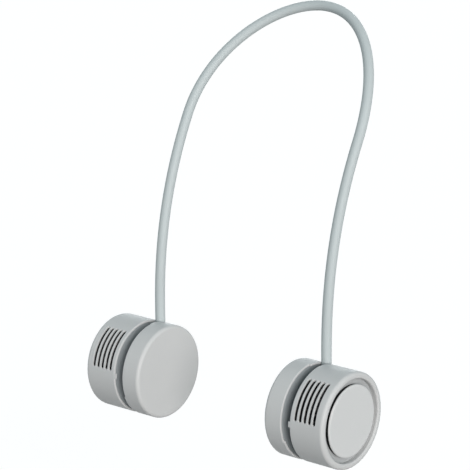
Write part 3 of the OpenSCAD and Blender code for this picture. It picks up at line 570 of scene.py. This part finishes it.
disc = {"x0": 53.5, "x1": 68.6, "faceWall": 1.6, "faceRound": 2.4, "edgeRound": 0.5,
    "notchFrom": -115.0, "notchTo": -4.0, "notch": 1.1, "notchStep": 0.3, "band": 66.9,
    "from": 126.0, "to": 196.0, "seamX0": 55.95, "seamX1": 64.1,
    "bossAngles": (32, 112, 206), "bossAt": 27.8, "boss": 2.1, "bossHole": 0.8, "bossDeep": -7.5,
    "coverX": 65.7, "ledge": 1.5, "ledgeIn": 29.75,
    "cellRing": 21.75, "cellRingWall": 1.0, "cellRingTop": 59.1, "saddle": 3.55}
# top, lipTop, lipBottom and plungerEnd are distances from the pods' axis, and radius, lip and plunger are
# the button's own radii
button = {"angle": 140.0, "x": 60.0, "hole": 3.65, "radius": 3.5, "top": 32.4, "round": 0.5, "lip": 4.3,
    "lipTop": 28.7, "lipBottom": 27.9, "plunger": 1.2, "plungerEnd": 27.35}
port = {"angle": 180.0, "x": 61.1, "half": 2.85, "end": 1.75}
holeRound = 0.25


def discBowl(bm):
    # the face with its rounded edge, the two ends of the wall, the floor and the ring that holds the cell
    r = pod["radius"]
    inside = r - pod["wall"]
    floor = disc["x0"] + disc["faceWall"]
    ring = disc["cellRing"] + disc["cellRingWall"]
    lathe(bm, [(0, disc["x0"]), (r, disc["x0"]), (r, disc["seamX0"])])
    lathe(bm, [(r, disc["seamX1"]), (r, disc["band"]), (r, disc["x1"]), (inside, disc["x1"]),
               (inside, disc["band"]), (inside, disc["seamX1"])])
    lathe(bm, [(inside, disc["seamX0"]), (inside, floor), (ring, floor), (ring, disc["cellRingTop"]),
               (disc["cellRing"], disc["cellRingTop"]), (disc["cellRing"], floor), (0, floor)])
    weld(bm)
    roundRing(bm, r, disc["x0"], disc["faceRound"], rounds["wide"])
    roundRing(bm, r, disc["x1"], disc["edgeRound"], rounds["small"])
    roundRing(bm, inside, disc["x1"], disc["edgeRound"] / 2, rounds["fine"])


def openedWall():
    # the stretch of the right disc's wall with the button's hole and the charging port's
    parallel = pod["radius"] / (pod["radius"] - pod["wall"])   # sides that stay parallel all the way in
    holes = [{"x": button["x"], "angle": button["angle"], "half": 0, "end": button["hole"]},
             {"x": port["x"], "angle": port["angle"], "half": port["half"], "end": port["end"]}]
    for hole in holes:
        hole.update({"round": holeRound, "spread": parallel, "draft": 1.0})
    return holedWall(holes, disc["seamX0"], disc["seamX1"], disc["from"], disc["to"])


def lowerRim(bm):
    # the rim is lower over the notch, and has a saddle for the tube's foot
    for edge in (disc["notchFrom"], disc["notchTo"]):
        # two close cuts leave a steep step between them
        for nudge in (-disc["notchStep"], disc["notchStep"]):
            a = math.radians(edge + nudge)
            bmesh.ops.bisect_plane(bm, geom=everything(bm), dist=work["cut"],
                                   plane_co=(0, 0, 0), plane_no=(-math.sin(a), math.cos(a), 0))
    for v in bm.verts:
        if v.co.z <= disc["band"] + work["past"]:
            continue
        angle = math.degrees(math.atan2(v.co.y, v.co.x))
        if disc["notchFrom"] < angle < disc["notchTo"]:
            v.co.z -= disc["notch"]
        reach = v.co.y - neck["footY"]
        if v.co.z > disc["band"] + work["past"] and v.co.x > 0 and abs(reach) < disc["saddle"]:
            v.co.z = min(v.co.z, neck["x"] - math.sqrt(disc["saddle"] ** 2 - reach ** 2))


def discShell(sideName, side):
    bm = bmesh.new()
    discBowl(bm)
    inside = pod["radius"] - pod["wall"]
    rest = 360 - (disc["to"] - disc["from"]) if side > 0 else 360
    for radius in (pod["radius"], inside):
        lathe(bm, [(radius, disc["seamX0"]), (radius, disc["seamX1"])], disc["to"], rest)
    if side > 0:   # only the right disc has the button and the charging port
        join(bm, openedWall())
    weld(bm)
    lowerRim(bm)
    low = disc["coverX"] - disc["ledge"]
    sunk = inside + work["overlap"]
    lathe(bm, [(disc["ledgeIn"], low), (sunk, low), (sunk, disc["coverX"]),
               (disc["ledgeIn"], disc["coverX"])], closed=True)
    floor = disc["x0"] + disc["faceWall"]
    for angle in disc["bossAngles"]:
        pillar(bm, disc["boss"], disc["bossAt"], angle, floor - work["overlap"], disc["coverX"],
               disc["bossHole"], disc["bossDeep"])
    finishPiece(sideName + "DiscShell", bm, made["shellPlastic"], sideName + "_arm",
                [sideName + "_disc_shell"], side)


def powerButton():
    bm = bmesh.new()
    lathe(bm, [(0, button["plungerEnd"]), (button["plunger"], button["plungerEnd"]),
               (button["plunger"], button["lipBottom"]), (button["lip"], button["lipBottom"]),
               (button["lip"], button["lipTop"]), (button["radius"], button["lipTop"]),
               (button["radius"], button["top"]), (0, button["top"])])
    weld(bm)
    roundRing(bm, button["radius"], button["top"], button["round"], rounds["button"])
    toAngle = Matrix.Rotation(math.radians(button["angle"]), 4, "Z")
    outwards = Matrix.Rotation(math.pi / 2, 4, "Y")
    place = podPlace @ Matrix.Translation((0, 0, button["x"])) @ toAngle @ outwards
    finishPiece("powerButton", bm, made["shellPlastic"], "button", ["power_button"], 1, place)


# face disc

face = {"radius": 24.0, "x0": 98.8, "x1": 100.2, "round": 1.15, "backRound": 0.2, "angles": (60, 180, 300),
    "postAt": 21.4, "post": 2.0, "postX0": 96.0, "pin": 0.9, "pinX0": 94.9}


def faceDisc(sideName, side):
    bm = bmesh.new()
    lathe(bm, [(0, face["x0"]), (face["radius"], face["x0"]), (face["radius"], face["x1"]), (0, face["x1"])])
    weld(bm)
    roundRing(bm, face["radius"], face["x1"], face["round"], rounds["middle"])
    roundRing(bm, face["radius"], face["x0"], face["backRound"], rounds["fine"])
    for angle in face["angles"]:
        pillar(bm, face["post"], face["postAt"], angle, face["postX0"], face["x0"] + work["overlap"])
        pillar(bm, face["pin"], face["postAt"], angle, face["pinX0"], face["postX0"] + work["overlap"])
    plate = finishPiece(sideName + "FaceDisc", bm, made["facePlastic"], sideName + "_drum",
                        [sideName + "_face_disc"], side)
    # the back and posts take a near-black finish, which is painted shade under the disc
    plate.data.materials.append(made["darkPlasticAndPaintedShade"])
    behind = (face["x0"] + face["backRound"]) * mm
    for part in plate.data.polygons:   # the disc is light in front; its back and posts are near-black as painted shade under the disc
        part.material_index = int(abs(part.center.x) < behind)


for sideName, side in (("right", 1), ("left", -1)):
    drumShell(sideName, side)
    discShell(sideName, side)
    faceDisc(sideName, side)
powerButton()
print("stage: pods made")


# floor, lights and camera

studio = {"floorZ": -0.42, "floorSize": 30.0, "floorGrey": 0.28, "floorGlow": 0.82,
    "sky": (0.85, 1.0, 1.05), "skyLevel": 0.46, "seenSky": (1.0, 1.0, 1.0),
    "key": (1.055, 1.0, 0.975), "keyLevel": 3.22, "keyFrom": (0.819, -0.546, 0.176), "keyWidth": 40.0,
    "fill": (0.95, 1.0, 1.02), "fillLevel": 1.9, "fillFrom": (-0.62, 0.77, -0.13), "fillWidth": 50.0}


def whiteRays(tree):
    # 1 for the rays that see the background: camera, reflection and clear material
    rays = tree.nodes.new("ShaderNodeLightPath").outputs
    seen = mathNode(tree, "MAXIMUM", rays["Is Camera Ray"], rays["Is Glossy Ray"])
    return mathNode(tree, "MAXIMUM", seen, rays["Is Transmission Ray"])


def floorMaterial():
    material = bpy.data.materials.new("paleFloor")
    material.use_nodes = True
    tree = material.node_tree
    shader = tree.nodes["Principled BSDF"].inputs
    feed(tree, shader["Base Color"], (studio["floorGrey"],) * 3)
    feed(tree, shader["Roughness"], 1.0)
    feed(tree, shader["Specular IOR Level"], 0.0)
    feed(tree, shader["Emission Color"], (1, 1, 1))
    feed(tree, shader["Emission Strength"], mathNode(tree, "MULTIPLY", whiteRays(tree), studio["floorGlow"]))
    return material


def makeFloor():
    bm = bmesh.new()
    bmesh.ops.create_grid(bm, x_segments=2, y_segments=2, size=studio["floorSize"])
    bmesh.ops.translate(bm, vec=(0, 0, studio["floorZ"]), verts=bm.verts)
    mesh = bpy.data.meshes.new("floor")
    bm.to_mesh(mesh)
    bm.free()
    mesh.materials.append(floorMaterial())
    floor = bpy.data.objects.new("floor", mesh)
    bpy.context.scene.collection.objects.link(floor)


def makeSky():
    world = bpy.data.worlds.new("studioWorld")
    bpy.context.scene.world = world
    world.use_nodes = True
    tree = world.node_tree
    light = [c * studio["skyLevel"] for c in studio["sky"]]
    colour = mixColour(tree, whiteRays(tree), light, studio["seenSky"])
    feed(tree, tree.nodes["Background"].inputs["Color"], colour)


def makeLamp(use):
    lamp = bpy.data.lights.new(use + "Lamp", "SUN")
    lamp.color = studio[use]
    lamp.energy = studio[use + "Level"]
    lamp.angle = math.radians(studio[use + "Width"])
    holder = bpy.data.objects.new(use + "Lamp", lamp)
    bpy.context.scene.collection.objects.link(holder)
    holder.rotation_euler = Vector(studio[use + "From"]).to_track_quat("Z", "Y").to_euler()


makeFloor()
makeSky()
makeLamp("key")
makeLamp("fill")

# the photo's angle: azimuth and elevation in degrees, the distance from the pods' axis and the picture's
# shift in metres, and the lens in millimetres
shot = {"azimuth": 39.423, "elevation": 15.074, "distance": 1.44918, "right": -0.003107, "up": -0.10154,
    "lens": 167.81, "sensor": 36.0, "near": 0.05, "far": 80.0}


def makeCamera():
    a = math.radians(shot["azimuth"])
    e = math.radians(shot["elevation"])
    back = Vector((math.sin(a) * math.cos(e), -math.cos(a) * math.cos(e), math.sin(e)))
    right = Vector((math.cos(a), math.sin(a), 0))
    up = Vector((-math.sin(a) * math.sin(e), math.cos(a) * math.sin(e), math.cos(e)))
    lens = bpy.data.cameras.new("photoCamera")
    lens.lens = shot["lens"]
    lens.sensor_width = shot["sensor"]
    lens.clip_start = shot["near"]
    lens.clip_end = shot["far"]
    camera = bpy.data.objects.new("photoCamera", lens)
    bpy.context.scene.collection.objects.link(camera)
    middle = Vector((0, pod["y"] * mm, pod["z"] * mm))
    camera.location = middle + back * shot["distance"] - right * shot["right"] - up * shot["up"]
    camera.rotation_euler = (-back).to_track_quat("-Z", "Y").to_euler()
    bpy.context.scene.camera = camera


makeCamera()
bpy.context.scene.view_settings.view_transform = "Standard"
print("stage: studio made")
